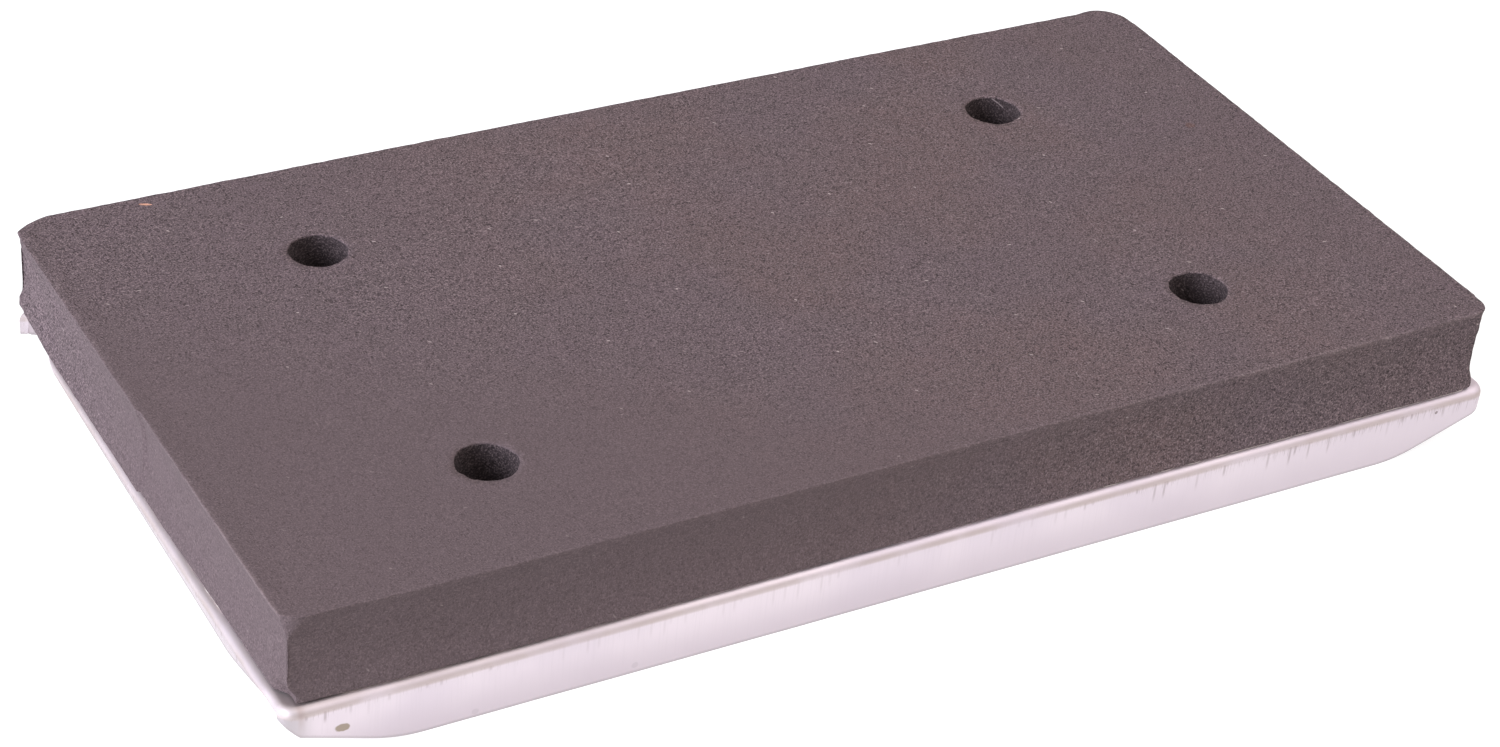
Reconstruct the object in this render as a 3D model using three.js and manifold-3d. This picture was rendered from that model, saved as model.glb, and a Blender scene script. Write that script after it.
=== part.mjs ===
// Backing pad of a third-sheet orbital sander, lying with its foam face up.
//
// A pressed sheet-metal tray carries a foam pad on a film of contact adhesive. Four holes through
// the foam give access to the socket screws that hold the tray to the sander. Each screw is seated
// on the tray over a split lock washer, and its shank comes out inside the tray's hollow.
//
// Millimetres. +X runs along the length, +Y across the width and +Z up, towards the foam face.
// The origin is under the middle of the pad, at the level of the flanges' lower edges.

import * as THREE from 'three';
import { mergeVertices } from 'three/addons/utils/BufferGeometryUtils.js';
import Module from 'manifold-3d';

const wasm = await Module();
wasm.setup();

// ---- Foam pad: laid by hand, so its middle is a little off the tray's ----
const PAD = { length: 178, width: 94.5, thickness: 12.7, corner: 3.6, centreX: -1, centreY: 0.1 };
const ACCESS_HOLE_RADIUS = 4.15;

// ---- Tray: one pressed sheet, flanged down along both sides, with a shallow rim at each end ----
const TRAY = { length: 180, width: 93.5, height: 8.35, sheet: 1.0, corner: 2.5, centreY: -0.6 };
const BEND_RADIUS = 1.3;           // outside of the bend between the top and a flange
const FLANGE = {
  flatHalf: 75,                    // half-length of the flange's straight lower edge
  taperEndX: 87.2,                 // where the taper meets the wrapped corner
  taperEndZ: 4.1,                  // height of the lower edge there
  blend: 3.5,                      // half-length of the curve between the straight edge and the taper
  cornerBulge: 0.5,                // how far the edge round the corner bows out from a straight line
};
const END_RIM_DEPTH = 1.6;         // from the tray's top to the lower edge of the rim at each end

// ---- Adhesive film ----
const FILM = { thickness: 0.3, inset: 1.5, gap: 0.05 };

// ---- Mounting screws: M4 socket head, on a rectangle ----
const SCREW_PATTERN = { spacingX: 107, spacingY: 52.6, centreX: -1.2, centreY: -0.6 };
const SCREW = {
  headRadius: 3.5, headHeight: 4, headEdge: 0.35,
  shankRadius: 1.95, length: 8, tipChamfer: 0.5,
  hexAcrossFlats: 3, hexDepth: 2, sides: 32,
};
const TRAY_HOLE = { radius: 2.25, sides: 24 };
const WASHER = { outer: 3.8, inner: 2.1, thickness: 0.9, split: 0.7 };
const SEAT_GAP = 0.05;             // clearance kept between pieces that bear on each other

// three.js draws an arc of an outline with twice this many straight steps.
const ARC_STEPS = { corner: 4, bend: 3, hole: 8, washer: 14 };

// ---- Heights ----
const trayTop = TRAY.height;
const filmBottom = trayTop + FILM.gap;
const padBottom = filmBottom + FILM.thickness + FILM.gap;
const washerBottom = trayTop + SEAT_GAP;
const headBottom = washerBottom + WASHER.thickness + SEAT_GAP;

const MATERIALS = {
  foam: { color: 0x5c5356, roughness: 0.96, metalness: 0 },
  adhesive: { color: 0xb9a98c, roughness: 0.55, metalness: 0 },
  sheet: { color: 0xd9d6d6, roughness: 0.32, metalness: 1 },
  screw: { color: 0x8f9092, roughness: 0.38, metalness: 1 },
  washer: { color: 0xa8a9ab, roughness: 0.4, metalness: 1 },
};

const group = new THREE.Group();
group.name = 'orbital_sander_backing_pad';

function addPiece(name, geometry, finish) {
  const mesh = new THREE.Mesh(geometry, new THREE.MeshStandardMaterial(finish));
  mesh.name = name;
  group.add(mesh);
  return mesh;
}

// Centres of the screws and of the access holes, row by row.
function screwCentres() {
  const centres = [];
  for (const sideY of [-1, 1]) {
    for (const sideX of [-1, 1]) {
      const x = SCREW_PATTERN.centreX + sideX * SCREW_PATTERN.spacingX / 2;
      const y = SCREW_PATTERN.centreY + sideY * SCREW_PATTERN.spacingY / 2;
      centres.push(new THREE.Vector2(x, y));
    }
  }
  return centres;
}

// A rectangle with round corners, about a centre.
function roundedRectangle(length, width, radius, centreX, centreY) {
  const shape = new THREE.Shape();
  const [left, right] = [centreX - length / 2, centreX + length / 2];
  const [low, high] = [centreY - width / 2, centreY + width / 2];
  shape.moveTo(left + radius, low);
  shape.lineTo(right - radius, low);
  shape.absarc(right - radius, low + radius, radius, -Math.PI / 2, 0);
  shape.lineTo(right, high - radius);
  shape.absarc(right - radius, high - radius, radius, 0, Math.PI / 2);
  shape.lineTo(left + radius, high);
  shape.absarc(left + radius, high - radius, radius, Math.PI / 2, Math.PI);
  shape.lineTo(left, low + radius);
  shape.absarc(left + radius, low + radius, radius, Math.PI, Math.PI * 1.5);
  return shape;
}

// Opens the four access holes in an outline.
function addAccessHoles(shape) {
  for (const centre of screwCentres()) {
    const hole = new THREE.Path();
    hole.absarc(centre.x, centre.y, ACCESS_HOLE_RADIUS, 0, Math.PI * 2, true);
    shape.holes.push(hole);
  }
}

function extrudeUp(shape, bottom, height, curveSegments) {
  const geometry = new THREE.ExtrudeGeometry(shape, { depth: height, bevelEnabled: false, curveSegments });
  geometry.translate(0, 0, bottom);
  return geometry;
}

// ---- Booleans ----

function toSolid(geometry) {
  const bare = geometry.clone();
  bare.deleteAttribute('normal');
  bare.deleteAttribute('uv');
  const merged = mergeVertices(bare, 1e-5);
  const vertProperties = new Float32Array(merged.attributes.position.array);
  const triVerts = new Uint32Array(merged.index.array);
  return new wasm.Manifold(new wasm.Mesh({ numProp: 3, vertProperties, triVerts }));
}

function toGeometry(solid) {
  const mesh = solid.getMesh();
  const geometry = new THREE.BufferGeometry();
  geometry.setAttribute('position', new THREE.BufferAttribute(mesh.vertProperties, 3));
  geometry.setIndex(new THREE.BufferAttribute(mesh.triVerts, 1));
  geometry.computeVertexNormals();
  return geometry;
}

// ---- Tray ----

// Each outline below is drawn this far past the tray, so that only the other outlines trim it.
const OVERRUN = 1;

// Plan outline, extruded past the tray's height both ways.
function trayPlan(inset) {
  const length = TRAY.length - 2 * inset;
  const width = TRAY.width - 2 * inset;
  const shape = roundedRectangle(length, width, TRAY.corner - inset, 0, TRAY.centreY);
  return toSolid(extrudeUp(shape, -OVERRUN, TRAY.height + 2 * OVERRUN, ARC_STEPS.corner));
}

// Extrudes an outline by a length along +Z, without bevels.
function extrudeOutline(shape, length) {
  const options = { depth: length, bevelEnabled: false, curveSegments: ARC_STEPS.bend };
  return new THREE.ExtrudeGeometry(shape, options);
}

// Cross-section through the width: flat top, and a round bend down into each flange.
function traySection(inset) {
  const half = TRAY.width / 2 - inset;
  const top = TRAY.height - inset;
  const radius = BEND_RADIUS - inset;
  const shape = new THREE.Shape();
  shape.moveTo(-half, -OVERRUN);
  shape.lineTo(half, -OVERRUN);
  shape.lineTo(half, top - radius);
  shape.absarc(half - radius, top - radius, radius, 0, Math.PI / 2);
  shape.lineTo(-half + radius, top);
  shape.absarc(-half + radius, top - radius, radius, Math.PI / 2, Math.PI);
  const reach = TRAY.length + 2 * OVERRUN;
  const geometry = extrudeOutline(shape, reach);
  // The section lies in XY and is drawn along Z: turn it into YZ, drawn along X.
  geometry.rotateX(Math.PI / 2);
  geometry.rotateZ(Math.PI / 2);
  geometry.translate(-reach / 2, TRAY.centreY, 0);
  return toSolid(geometry);
}

// Side view: straight lower edge, a taper up at each end, then the corner's edge up to the end rim,
// and a round bend at the top. It is drawn anticlockwise, from the right-hand end of the lower edge.
function trayProfile() {
  const half = TRAY.length / 2;
  const top = TRAY.height;
  const { flatHalf, taperEndX, taperEndZ, blend, cornerBulge } = FLANGE;
  const rimZ = top - END_RIM_DEPTH;
  const blendZ = blend * taperEndZ / (taperEndX - flatHalf);
  const bulgeX = (half + taperEndX) / 2 + cornerBulge;
  const bulgeZ = (rimZ + taperEndZ) / 2 - cornerBulge;
  const shape = new THREE.Shape();
  shape.moveTo(flatHalf - blend, 0);
  shape.quadraticCurveTo(flatHalf, 0, flatHalf + blend, blendZ);
  shape.lineTo(taperEndX, taperEndZ);
  shape.quadraticCurveTo(bulgeX, bulgeZ, half, rimZ);
  shape.absarc(half - BEND_RADIUS, top - BEND_RADIUS, BEND_RADIUS, 0, Math.PI / 2);
  shape.absarc(-half + BEND_RADIUS, top - BEND_RADIUS, BEND_RADIUS, Math.PI / 2, Math.PI);
  shape.lineTo(-half, rimZ);
  shape.quadraticCurveTo(-bulgeX, bulgeZ, -taperEndX, taperEndZ);
  shape.lineTo(-flatHalf - blend, blendZ);
  shape.quadraticCurveTo(-flatHalf, 0, -flatHalf + blend, 0);
  const reach = TRAY.width + 2 * OVERRUN;
  const geometry = extrudeOutline(shape, reach);
  // The outline lies in XY and is drawn along Z: turn it into XZ, drawn along Y.
  geometry.rotateX(Math.PI / 2);
  geometry.translate(0, TRAY.centreY + reach / 2, 0);
  return toSolid(geometry);
}

// The hollow under the sheet, open below, with its roof one sheet thickness under the top.
function trayHollow() {
  const inside = trayPlan(TRAY.sheet);
  return inside.intersect(traySection(TRAY.sheet));
}

function trayScrewHole(centre) {
  const { radius, sides } = TRAY_HOLE;
  const drill = new THREE.CylinderGeometry(radius, radius, 4 * TRAY.sheet, sides);
  drill.rotateX(Math.PI / 2);
  drill.translate(centre.x, centre.y, TRAY.height);
  return toSolid(drill);
}

function addTray() {
  let tray = trayPlan(0).intersect(traySection(0)).intersect(trayProfile());
  tray = tray.subtract(trayHollow());
  for (const centre of screwCentres()) {
    tray = tray.subtract(trayScrewHole(centre));
  }
  addPiece('base_tray', toGeometry(tray), MATERIALS.sheet);
}

// ---- Foam and adhesive ----

function addFoamPad() {
  const shape = roundedRectangle(PAD.length, PAD.width, PAD.corner, PAD.centreX, PAD.centreY);
  addAccessHoles(shape);
  addPiece('foam_pad', extrudeUp(shape, padBottom, PAD.thickness, ARC_STEPS.hole), MATERIALS.foam);
}

// The film stops short of the tray's bends and of the foam's edges.
function addAdhesiveFilm() {
  const length = PAD.length - 2 * FILM.inset;
  const width = TRAY.width - 2 * (BEND_RADIUS + FILM.inset);
  const shape = roundedRectangle(length, width, PAD.corner, PAD.centreX, TRAY.centreY);
  addAccessHoles(shape);
  const geometry = extrudeUp(shape, filmBottom, FILM.thickness, ARC_STEPS.hole);
  addPiece('adhesive_film', geometry, MATERIALS.adhesive);
}

// ---- Screws and washers ----

// Turned outline of the screw, from the centre of its tip to the centre of its head.
function screwOutline() {
  const tip = headBottom - SCREW.length;
  const headTop = headBottom + SCREW.headHeight;
  const corners = [
    [0, tip],
    [SCREW.shankRadius - SCREW.tipChamfer, tip],
    [SCREW.shankRadius, tip + SCREW.tipChamfer],
    [SCREW.shankRadius, headBottom],
    [SCREW.headRadius, headBottom],
    [SCREW.headRadius, headTop - SCREW.headEdge],
    [SCREW.headRadius - SCREW.headEdge, headTop],
    [0, headTop],
  ];
  return corners.map(([radius, z]) => new THREE.Vector2(radius, z));
}

function hexSocket() {
  const cornerRadius = SCREW.hexAcrossFlats / Math.sqrt(3);
  const socket = new THREE.CylinderGeometry(cornerRadius, cornerRadius, 2 * SCREW.hexDepth, 6);
  socket.rotateX(Math.PI / 2);
  socket.translate(0, 0, headBottom + SCREW.headHeight);
  return toSolid(socket);
}

function screwGeometry() {
  const turned = new THREE.LatheGeometry(screwOutline(), SCREW.sides);
  turned.rotateX(Math.PI / 2);
  return toGeometry(toSolid(turned).subtract(hexSocket()));
}

// A flat ring with a narrow split through one side.
function washerGeometry() {
  const split = WASHER.split / 2;
  const outerStart = Math.asin(split / WASHER.outer);
  const innerStart = Math.asin(split / WASHER.inner);
  const shape = new THREE.Shape();
  shape.absarc(0, 0, WASHER.outer, outerStart, 2 * Math.PI - outerStart);
  shape.absarc(0, 0, WASHER.inner, 2 * Math.PI - innerStart, innerStart, true);
  return extrudeUp(shape, washerBottom, WASHER.thickness, ARC_STEPS.washer);
}

function addFasteners() {
  screwCentres().forEach((centre, index) => {
    const screw = addPiece(`mounting_screw_${index + 1}`, screwGeometry(), MATERIALS.screw);
    screw.position.set(centre.x, centre.y, 0);
    const washer = addPiece(`lock_washer_${index + 1}`, washerGeometry(), MATERIALS.washer);
    washer.position.set(centre.x, centre.y, 0);
  });
}

addTray();
addAdhesiveFilm();
addFoamPad();
addFasteners();

export default group;
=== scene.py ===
"""Looks of the orbital sander backing pad: foam block on a pressed tray, with its glue line and screws.

Everything is in metres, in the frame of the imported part. Lengths that a person would measure on the
object are written in millimetres and multiplied by MM.
"""

import itertools
import math

import bpy
import numpy as np
from mathutils import Matrix, Vector, geometry


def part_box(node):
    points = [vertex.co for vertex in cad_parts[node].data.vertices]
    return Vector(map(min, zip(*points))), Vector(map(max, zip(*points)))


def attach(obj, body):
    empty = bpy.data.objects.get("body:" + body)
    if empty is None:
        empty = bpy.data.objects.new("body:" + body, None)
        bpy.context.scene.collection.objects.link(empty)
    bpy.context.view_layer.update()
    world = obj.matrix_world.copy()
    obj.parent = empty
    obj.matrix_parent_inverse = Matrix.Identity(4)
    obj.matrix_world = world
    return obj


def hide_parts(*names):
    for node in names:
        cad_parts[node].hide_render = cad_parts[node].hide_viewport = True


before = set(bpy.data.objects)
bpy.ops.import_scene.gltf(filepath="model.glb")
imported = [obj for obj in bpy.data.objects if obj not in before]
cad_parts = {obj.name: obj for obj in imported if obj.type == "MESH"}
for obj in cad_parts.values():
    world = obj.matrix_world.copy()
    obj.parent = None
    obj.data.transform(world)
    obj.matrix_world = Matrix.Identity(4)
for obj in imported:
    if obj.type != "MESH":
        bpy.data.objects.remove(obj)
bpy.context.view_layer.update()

MM = 0.001
PAD_LOW, PAD_HIGH = (np.array(corner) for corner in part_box("foam_pad"))
TRAY_LOW, TRAY_HIGH = (np.array(corner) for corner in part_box("base_tray"))
SCREWS = [f"mounting_screw_{number}" for number in range(1, 5)]
WASHERS = [f"lock_washer_{number}" for number in range(1, 5)]


def box_middle(node):
    """Plan position of the middle of a CAD node."""
    low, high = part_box(node)
    return np.array([(low.x + high.x) / 2, (low.y + high.y) / 2])


HOLE_CENTRES = [box_middle(name) for name in SCREWS]

# ---- Camera: three-quarter view from the front left, long lens ----
PAD_TOP_MIDDLE = Vector((*((PAD_LOW + PAD_HIGH) / 2)[:2], PAD_HIGH[2]))
CAMERA_FROM_PAD = Vector((-205.06, -328.45, 238.54)) * MM
AIM_FROM_PAD = Vector((-14.12, -22.16, 0.0)) * MM
CAMERA_ROLL = math.radians(5.475)
LENS, SENSOR = 80.82, 36.0


def make_camera():
    data = bpy.data.cameras.new("camera")
    data.lens = LENS
    data.sensor_width = SENSOR
    data.clip_start = 0.01
    camera = bpy.data.objects.new("camera", data)
    camera.location = PAD_TOP_MIDDLE + CAMERA_FROM_PAD
    view = PAD_TOP_MIDDLE + AIM_FROM_PAD - camera.location
    upright = view.to_track_quat("-Z", "Y").to_matrix()
    camera.rotation_euler = (upright @ Matrix.Rotation(CAMERA_ROLL, 3, "Z")).to_euler()
    bpy.context.scene.collection.objects.link(camera)
    bpy.context.scene.camera = camera


# ---- Noise and mesh helpers ----
NOISE_TABLE = 4096                 # values to choose from, a power of two
HASH_PRIMES = (73856093, 19349663, 83492791)
ARC_STEPS = 12                     # faces round each corner of an outline


def lumps(points, size, seed):
    """Smooth noise from -1 to 1 at each point, with lumps about `size` across."""
    table = np.random.default_rng(seed).uniform(-1, 1, NOISE_TABLE)
    grid = np.asarray(points) / size
    cell = np.floor(grid).astype(np.int64)
    blend = grid - cell
    blend = blend * blend * (3 - 2 * blend)
    total = np.zeros(len(grid))
    for corner in itertools.product((0, 1), repeat=3):
        key = (cell + corner) * HASH_PRIMES
        slot = (key[:, 0] ^ key[:, 1] ^ key[:, 2]) & (NOISE_TABLE - 1)
        weight = np.prod(np.where(corner, blend, 1 - blend), axis=1)
        total += weight * table[slot]
    return total


def flat(points, z=0.0):
    """Plan points as 3-D points at one height."""
    return np.column_stack([points, np.full(len(points), z)])


def smooth_step(value, low, high):
    ratio = np.clip((value - low) / (high - low), 0, 1)
    return ratio * ratio * (3 - 2 * ratio)


class Shell:
    """Collects vertices and faces of one closed mesh."""

    def __init__(self):
        self.points = []
        self.faces = []
        self.count = 0

    def add_points(self, points):
        start = self.count
        self.points.append(np.asarray(points, float))
        self.count += len(points)
        return np.arange(start, self.count)

    def bridge(self, ring_a, ring_b):
        """Quads between two closed rings of the same length."""
        a, b = np.asarray(ring_a), np.asarray(ring_b)
        self.faces += np.column_stack([a, np.roll(a, -1), np.roll(b, -1), b]).tolist()

    def skin(self, rings):
        for ring_a, ring_b in zip(rings[:-1], rings[1:]):
            self.bridge(ring_a, ring_b)

    def fan(self, ring, centre, flip=False):
        a, b = np.asarray(ring), np.roll(ring, -1)
        first, second = (b, a) if flip else (a, b)
        self.faces += [[int(i), int(j), int(centre)] for i, j in zip(first, second)]

    def build(self, name, smooth_angle=40):
        mesh = bpy.data.meshes.new(name)
        mesh.from_pydata(np.concatenate(self.points).tolist(), [], self.faces)
        mesh.validate()
        mesh.shade_smooth()
        mesh.set_sharp_from_angle(angle=math.radians(smooth_angle))
        piece = bpy.data.objects.new(name, mesh)
        bpy.context.scene.collection.objects.link(piece)
        return piece


def inside_loops(points, loops):
    """Whether each plan point is inside an odd number of the closed loops."""
    inside = np.zeros(len(points), bool)
    x, y = points[:, :1], points[:, 1:]
    for loop in loops:
        start, end = loop, np.roll(loop, -1, axis=0)
        crosses = (start[:, 1] > y) != (end[:, 1] > y)
        rise = np.where(start[:, 1] == end[:, 1], 1, end[:, 1] - start[:, 1])
        at = start[:, 0] + (y - start[:, 1]) * (end[:, 0] - start[:, 0]) / rise
        inside ^= (np.sum(crosses & (x < at), axis=1) % 2).astype(bool)
    return inside


def distance_to_loops(points, loops):
    """Distance from each plan point to the nearest point of the loops."""
    edge = np.concatenate(loops)
    nearest = np.empty(len(points))
    for start in range(0, len(points), 2000):
        part = points[start:start + 2000]
        gap = part[:, None, :] - edge[None, :, :]
        nearest[start:start + 2000] = np.sqrt(np.min(np.sum(gap * gap, axis=2), axis=1))
    return nearest


def cap(shell, loops, rings, spacing, height, facing_up):
    """Fills the plan between closed loops with triangles, with inner points about `spacing` apart.

    height(points, loops) gives the z of the inner points; rings are the loops' vertices in the shell."""
    outline = loops[0]
    low, high = outline.min(0), outline.max(0)
    steps = np.maximum(2, np.ceil((high - low) / spacing).astype(int))
    across = [np.linspace(low[axis], high[axis], steps[axis] + 1) for axis in (0, 1)]
    grid = np.stack(np.meshgrid(*across, indexing="ij"), -1).reshape(-1, 2)
    grid = grid[inside_loops(grid, loops)]
    grid = grid[distance_to_loops(grid, loops) > 0.55 * spacing]
    inner = shell.add_points(np.column_stack([grid, height(grid, loops)]))
    plan = np.concatenate([*loops, grid])
    vertex = np.concatenate([*rings, inner])
    edges, start = [], 0
    for loop in loops:
        index = np.arange(start, start + len(loop))
        edges += np.column_stack([index, np.roll(index, -1)]).tolist()
        start += len(loop)
    border = start
    scale = 1 / MM
    filled = geometry.delaunay_2d_cdt([Vector(p) * scale for p in plan], edges, [], 0, 1e-6, True)
    first = np.array([origin[0] for origin in filled[3]])
    triangles = first[np.array(filled[2])]
    on_border = np.all(triangles < border, axis=1)
    middles = plan[triangles[on_border]].mean(axis=1)
    keep = np.ones(len(triangles), bool)
    keep[on_border] = inside_loops(middles, loops)
    triangles = triangles[keep]
    a, b, c = (plan[triangles[:, k]] for k in range(3))
    turn = (b[:, 0] - a[:, 0]) * (c[:, 1] - a[:, 1]) - (b[:, 1] - a[:, 1]) * (c[:, 0] - a[:, 0])
    wrong = (turn > 0) != facing_up
    triangles[wrong] = triangles[wrong][:, ::-1]
    shell.faces += vertex[triangles].tolist()


def level(z):
    """The height function of a level cap."""
    return lambda points, loops: np.full(len(points), z)


def cap_both_ends(shell, wall, holes, top, under):
    """Closes a wall above and below, round its holes. A wall or hole is (rings, plans) from the top
    down; top and under are each (spacing, height function)."""
    for end, (spacing, height), facing_up in ((0, top, True), (-1, under, False)):
        rings = [part_rings[end] for part_rings, _ in (wall, *holes)]
        loops = [part_plans[end] for _, part_plans in (wall, *holes)]
        cap(shell, loops, rings, spacing, height, facing_up)


def cut_outline(low, high, corners, step):
    """Points and outward normals round a rectangle, anticlockwise.

    Each corner is (reach along X, reach along Y, bulge): bulge 2 is an ellipse, 1 a straight cut.
    Outlines of one rectangle and step have matching points, whatever their corners."""
    size = np.asarray(high) - np.asarray(low)
    signs = [(1, -1), (1, 1), (-1, 1), (-1, -1)]
    starts = np.radians([-90, 0, 90, 180])
    arcs, arc_normals = [], []
    for (sign_x, sign_y), (reach_x, reach_y, bulge), start in zip(signs, corners, starts):
        angles = start + math.pi / 2 * np.arange(ARC_STEPS + 1) / ARC_STEPS
        direction = np.column_stack([np.cos(angles), np.sin(angles)])
        bent = np.sign(direction) * np.abs(direction) ** (2 / bulge)
        corner = np.array([high[0] if sign_x > 0 else low[0], high[1] if sign_y > 0 else low[1]])
        centre = corner - np.array([sign_x * reach_x, sign_y * reach_y])
        arcs.append(centre + bent * np.array([reach_x, reach_y]))
        arc_normals.append(direction)
    points, normals = [], []
    for number, arc in enumerate(arcs):
        points.append(arc)
        normals.append(arc_normals[number])
        following = arcs[(number + 1) % 4][0]
        pieces = max(2, round(size[1 - number % 2] / step))
        along = np.arange(1, pieces)[:, None] / pieces
        points.append(arc[-1] + (following - arc[-1]) * along)
        normals.append(np.repeat(arc_normals[number][-1:], pieces - 1, axis=0))
    return np.concatenate(points), np.concatenate(normals)


def rounded_outline(low, high, radii, step):
    """The same round a rectangle with round corners, their radii in mm."""
    return cut_outline(low, high, [(radius * MM, radius * MM, 2.0) for radius in radii], step)


def circle(centre, radius, steps):
    angles = 2 * np.pi * np.arange(steps) / steps
    return centre + radius * np.column_stack([np.cos(angles), np.sin(angles)])


# ---- Foam block ----
FOOT_CORNERS = [1.4, 1.4, 1.1, 1.4]    # corner radii of the block below its sanding face, in mm
PAD_STEP = 0.42 * MM               # spacing of the points round the block
HOLE_RADIUS = 4.05 * MM
TOP_EDGE, BOTTOM_EDGE = 0.15 * MM, 0.12 * MM
# How each corner of the sanding face is cut: reach along X, reach along Y, and bulge (2 is round,
# 1 is a straight chamfer). Near right, far right, far left, near left.
TOP_CORNERS = [(2.9, 2.9, 2.0), (4.2, 4.6, 1.8), (5.6, 2.9, 1.4), (3.4, 2.2, 1.7)]
# How far the cut side stands in from the outline, from the top (0) to the bottom (1).
WAIST_AT = [0.0, 0.10, 0.22, 0.35, 0.55, 0.70, 0.80, 0.90, 0.96, 1.0]
WAIST_IN = [0.0, 0.40, 0.76, 0.98, 1.02, 0.96, 0.80, 0.36, 0.12, 0.05]


def waist(depth):
    """Inset of the side wall at a depth from 0 to 1, in metres, as a smooth curve."""
    fine = np.linspace(0, 1, 101)
    rough = np.interp(fine, WAIST_AT, WAIST_IN)
    padded = np.concatenate([np.full(4, rough[0]), rough, np.full(4, rough[-1])])
    soft = np.convolve(padded, np.hanning(11)[1:-1] / np.hanning(11).sum(), "valid")
    return np.interp(depth, fine, soft) * MM


def near_end(points, end, reach=4 * MM):
    """1 on the given end face of the block, fading to 0 within `reach` of it."""
    return np.clip(1 - np.abs(points[:, 0] - end) / reach, 0, 1)


def side_inset(points):
    """Where the hand-cut sides of the block stray inwards from a true rectangle."""
    x, y = points[:, 0], points[:, 1]
    front = (y < PAD_LOW[1] + 3 * MM) * (0.12 + 0.18 * np.cos((x - 15 * MM) / (22 * MM)).clip(0))
    dip = (y < 0) * 0.35 * (1 - smooth_step(x, PAD_LOW[0] + 5 * MM, PAD_LOW[0] + 17 * MM))
    far_ends = (y > PAD_HIGH[1] - 3 * MM) * 0.12 * smooth_step(np.abs(x), 40 * MM, 85 * MM)
    right = near_end(points, PAD_HIGH[0]) * (-0.10 - 0.34 * y / PAD_HIGH[1])
    return (front + dip + far_ends + right) * MM


def foot_inset(points):
    """Extra inset along the foot of the block: its ends lean in a little."""
    y = points[:, 1]
    left = 0.5 * smooth_step(y, 28 * MM, 46 * MM) + 0.5 * smooth_step(-y, 0, 38 * MM)
    return (near_end(points, PAD_LOW[0]) * left + near_end(points, PAD_HIGH[0]) * 0.25) * MM


def corner_nick(plan, amount):
    """Cuts off the foot of the near left corner, in a facet and a short straight end."""
    down = smooth_step(-plan[:, 1], -PAD_LOW[1] - 5.0 * MM, -PAD_LOW[1] - 2.3 * MM)
    limit = PAD_LOW[0] + (0.8 + 1.5 * down) * MM
    at_corner = (plan[:, 0] < limit) & (down > 0)
    plan[:, 0] += np.where(at_corner, (limit - plan[:, 0]) * amount, 0)
    return plan


def side_rows():
    """Depth below the top and inset of each row of the side wall, past its two rounded edges."""
    height = PAD_HIGH[2] - PAD_LOW[2]
    rows = []
    for turn in np.radians(np.linspace(0, 90, 5))[:-1]:
        rows.append((TOP_EDGE * (1 - math.cos(turn)), TOP_EDGE * (1 - math.sin(turn))))
    rows += [(depth, 0.0) for depth in np.linspace(TOP_EDGE, height - BOTTOM_EDGE, 30)]
    for turn in np.radians(np.linspace(0, 90, 5))[1:]:
        rows.append((height - BOTTOM_EDGE * (1 - math.sin(turn)), BOTTOM_EDGE * (1 - math.cos(turn))))
    return height, rows


def make_foam():
    shell = Shell()
    outline, normals = rounded_outline(PAD_LOW[:2], PAD_HIGH[:2], FOOT_CORNERS, PAD_STEP)
    corners = [(across * MM, along * MM, bulge) for across, along, bulge in TOP_CORNERS]
    top_outline = cut_outline(PAD_LOW[:2], PAD_HIGH[:2], corners, PAD_STEP)[0]
    outline_inset = side_inset(outline)
    far_left = smooth_step(outline[:, 1], 25 * MM, PAD_HIGH[1]) * near_end(outline, PAD_LOW[0], 12 * MM)
    height, rows = side_rows()
    rings, plans = [], []
    for depth, edge in rows:
        share = depth / height
        swell = 1 + 0.12 * lumps(flat(outline), 35 * MM, 3) + 0.22 * far_left
        inset = np.maximum(waist(share) * swell, foot_inset(outline) * smooth_step(share, 0.3, 0.9))
        inset = inset + outline_inset + edge
        blend = smooth_step(share, 0, 0.3)
        plan = top_outline * (1 - blend) + outline * blend - normals * inset[:, None]
        plan = corner_nick(plan, smooth_step(share, 0.78, 0.95))
        points = flat(plan, PAD_HIGH[2] - depth)
        rough = 0.05 * lumps(points, 0.7 * MM, 5) + 0.05 * lumps(points, 2.6 * MM, 6)
        ragged = 0.05 * lumps(points, 1.1 * MM, 7) * (1 - smooth_step(share, 0, 0.1))
        plan = plan - normals * ((rough + ragged) * MM)[:, None]
        plan[:, 0] = np.maximum(plan[:, 0], PAD_LOW[0])
        plan[:, 1] = np.clip(plan[:, 1], PAD_LOW[1], PAD_HIGH[1])
        points = flat(plan, PAD_HIGH[2] - depth)
        rings.append(shell.add_points(points))
        plans.append(plan)
    shell.skin([ring[::-1] for ring in rings])
    holes = [make_hole_wall(shell, number, rows, height) for number in range(4)]
    cap_both_ends(shell, (rings, plans), holes, (1.0 * MM, sanding_face), (6 * MM, level(PAD_LOW[2])))
    foam = shell.build("foam_block", 60)
    foam.data.materials.append(foam_material())
    return foam


def sanding_face(points, loops):
    """Its height: level at its edges, with faint dips of a few hundredths of a mm between them."""
    inward = smooth_step(distance_to_loops(points, loops), 0, 3 * MM)
    dips = 0.05 * lumps(flat(points), 17 * MM, 11) + 0.03 * lumps(flat(points), 5 * MM, 12)
    return PAD_HIGH[2] - inward * (0.08 + dips) * MM


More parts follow.
